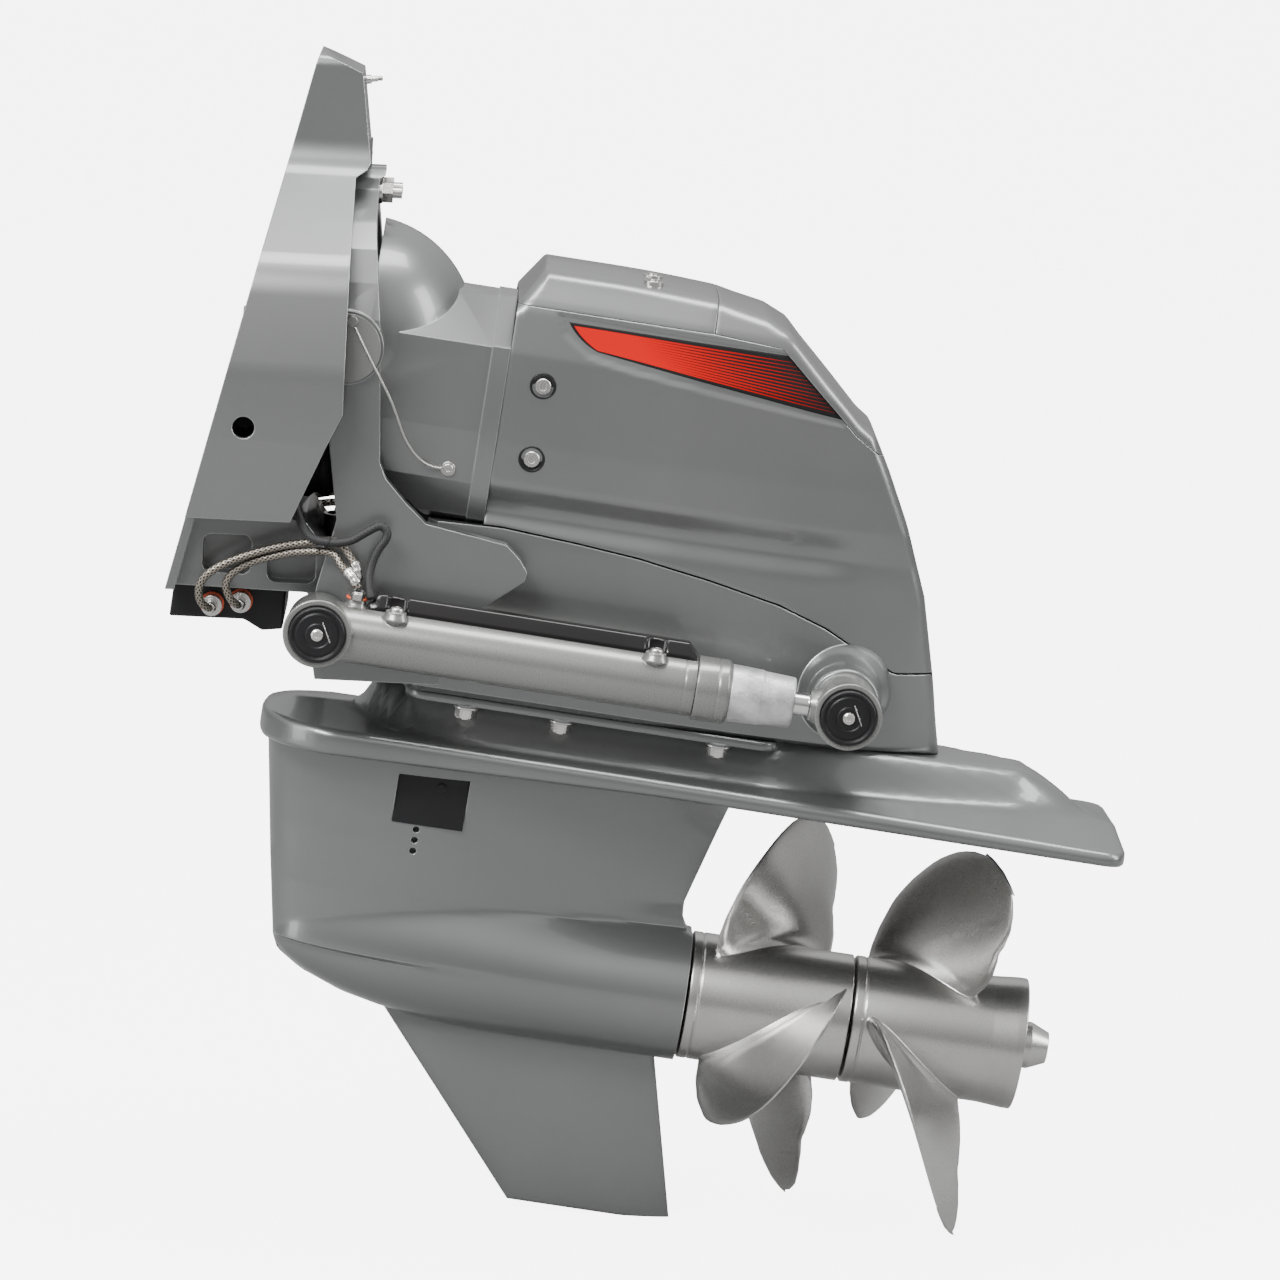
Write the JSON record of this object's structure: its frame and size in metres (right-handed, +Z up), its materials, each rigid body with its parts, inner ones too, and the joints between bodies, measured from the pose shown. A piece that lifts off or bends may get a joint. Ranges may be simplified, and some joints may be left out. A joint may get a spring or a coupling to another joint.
{
  "type": "sterndrive",
  "caption": "Marine sterndrive with transom shield, gimbal ring, trim cylinders, bevel gear drive and two counter-rotating propellers, steering and tilting about a common pivot.",
  "frame": {"origin": "where the input shaft's line crosses the transom's outer face, in the centre plane", "axes": "+X aft along the input shaft, +Y starboard, +Z up"},
  "size_m": [0.8479, 0.39, 1.0379],
  "materials": {
    "grey_paint": "satin metallic grey",
    "black_plastic": "matte",
    "stainless": "satin",
    "polished_rod": "polished",
    "propeller_steel": "polished",
    "gear_steel": "ground",
    "bare_metal": "machined",
    "zinc": "cast",
    "bronze": "sintered",
    "rubber": "matte",
    "hose_braid": "braided"
  },
  "bodies": {
    "transom": {"transom_shield": "grey_paint", "swivel_bushes": "bronze", "grease_fitting": "stainless", "bearing_carrier": "bare_metal", "input_bearing": "gear_steel", "hydraulic_manifold": "black_plastic", "hose_fittings": "stainless", "universal_joint": "gear_steel", "universal_joint_bellows": "rubber", "exhaust_bellows": "rubber", "hoses_at_transom": "hose_braid"},
    "input_coupling": {"coupling_shaft": "gear_steel"},
    "ring": {"gimbal_ring": "grey_paint", "clamp_bolts": "stainless", "swivel_pins": "stainless", "tilt_hinge_pins": "stainless", "hinge_covers": "grey_paint", "front_anchor_pins": "stainless", "anchor_bushes": "bronze", "front_caps": "black_plastic", "hoses_at_ring": "hose_braid", "bonding_wires": "stainless"},
    "drive": {"bell_housing": "grey_paint", "driveshaft_housing": "grey_paint", "side_cowl": "grey_paint", "top_cover": "grey_paint", "rear_cover": "grey_paint", "cowl_screws": "stainless", "oil_plugs": "stainless", "gearcase": "grey_paint", "intake_screens": "black_plastic", "gearcase_bolts": "stainless", "rear_anchor_pin": "stainless", "rear_bushes": "rubber", "drive_bearings": "gear_steel", "propeller_shaft_carrier": "bare_metal"},
    "input": {"input_pinion": "gear_steel"},
    "vertical": {"vertical_shaft": "gear_steel", "ahead_gear": "gear_steel", "clutch_sleeve": "gear_steel"},
    "astern": {"astern_gear": "gear_steel"},
    "front_screw": {"outer_propeller_shaft": "gear_steel", "front_propeller": "propeller_steel"},
    "rear_screw": {"inner_propeller_shaft": "gear_steel", "rear_propeller": "propeller_steel", "propeller_nut": "propeller_steel"},
    "port_cylinder": {"port_trim_cylinder": "grey_paint", "port_cylinder_gland": "grey_paint", "port_cylinder_anode": "zinc", "port_cover_strip": "black_plastic", "port_cylinder_screws": "stainless"},
    "port_rod": {"port_piston_rod": "polished_rod", "port_rear_cap": "black_plastic"},
    "starboard_cylinder": {"starboard_trim_cylinder": "grey_paint", "starboard_cylinder_gland": "grey_paint", "starboard_cylinder_anode": "zinc", "starboard_cover_strip": "black_plastic", "starboard_cylinder_screws": "stainless"},
    "starboard_rod": {"starboard_piston_rod": "polished_rod", "starboard_rear_cap": "black_plastic"}
  },
  "joints": [
    {"name": "steering", "type": "hinge", "parent": "transom", "child": "ring", "pos_m": [0.095, 0, 0], "axis": [0, 0, 1], "range_deg": [-25, 25], "deforming": ["universal_joint_bellows", "exhaust_bellows", "universal_joint", "hoses_at_transom"]},
    {"name": "tilt", "type": "hinge", "parent": "ring", "child": "drive", "pos_m": [0.095, 0, 0], "axis": [0, -1, 0], "range_deg": [0, 44], "deforming": ["rear_bushes", "bonding_wires"]},
    {"name": "input_turn", "type": "hinge", "parent": "transom", "child": "input_coupling", "pos_m": [0.095, 0, 0], "axis": [1, 0, 0], "continuous": true},
    {"name": "port_cylinder_swing", "type": "hinge", "parent": "ring", "child": "port_cylinder", "pos_m": [0.082, -0.157, -0.24], "axis": [0, -1, 0], "range_deg": [0, 40], "deforming": ["hoses_at_ring"]},
    {"name": "port_rod_extension", "type": "slide", "parent": "port_cylinder", "child": "port_rod", "axis": [0.9941, 0, -0.1088], "range_m": [0, 0.18]},
    {"name": "starboard_cylinder_swing", "type": "hinge", "parent": "ring", "child": "starboard_cylinder", "pos_m": [0.082, 0.157, -0.24], "axis": [0, -1, 0], "range_deg": [0, 40]},
    {"name": "starboard_rod_extension", "type": "slide", "parent": "starboard_cylinder", "child": "starboard_rod", "axis": [0.9941, 0, -0.1088], "range_m": [0, 0.18]},
    {"name": "rear_propeller_spin", "type": "hinge", "parent": "drive", "child": "rear_screw", "pos_m": [0.25175, 0, -0.56548], "axis": [0.9945, 0, -0.1045], "continuous": true},
    {"name": "front_propeller_spin", "type": "hinge", "parent": "drive", "child": "front_screw", "pos_m": [0.25175, 0, -0.56548], "axis": [0.9945, 0, -0.1045], "continuous": true},
    {"name": "vertical_shaft_spin", "type": "hinge", "parent": "drive", "child": "vertical", "pos_m": [0.30882, 0, -0.02247], "axis": [0.1045, 0, 0.9945], "continuous": true},
    {"name": "astern_gear_spin", "type": "hinge", "parent": "drive", "child": "astern", "pos_m": [0.30882, 0, -0.02247], "axis": [0.1045, 0, 0.9945], "continuous": true},
    {"name": "input_pinion_spin", "type": "hinge", "parent": "drive", "child": "input", "pos_m": [0.095, 0, 0], "axis": [0.9945, 0, -0.1045], "continuous": true}
  ],
  "couplings": [
    {"joint": "port_cylinder_swing", "follows": "tilt", "ratio": 0.8989},
    {"joint": "port_rod_extension", "follows": "tilt", "m_per_rad": 0.22946},
    {"joint": "starboard_cylinder_swing", "follows": "tilt", "ratio": 0.8989},
    {"joint": "starboard_rod_extension", "follows": "tilt", "m_per_rad": 0.22946},
    {"joint": "front_propeller_spin", "follows": "rear_propeller_spin", "ratio": -1},
    {"joint": "vertical_shaft_spin", "follows": "rear_propeller_spin", "ratio": 1.4615},
    {"joint": "astern_gear_spin", "follows": "rear_propeller_spin", "ratio": -1.4615},
    {"joint": "input_pinion_spin", "follows": "rear_propeller_spin", "ratio": 1.7793},
    {"joint": "input_turn", "follows": "rear_propeller_spin", "ratio": 1.7793}
  ]
}
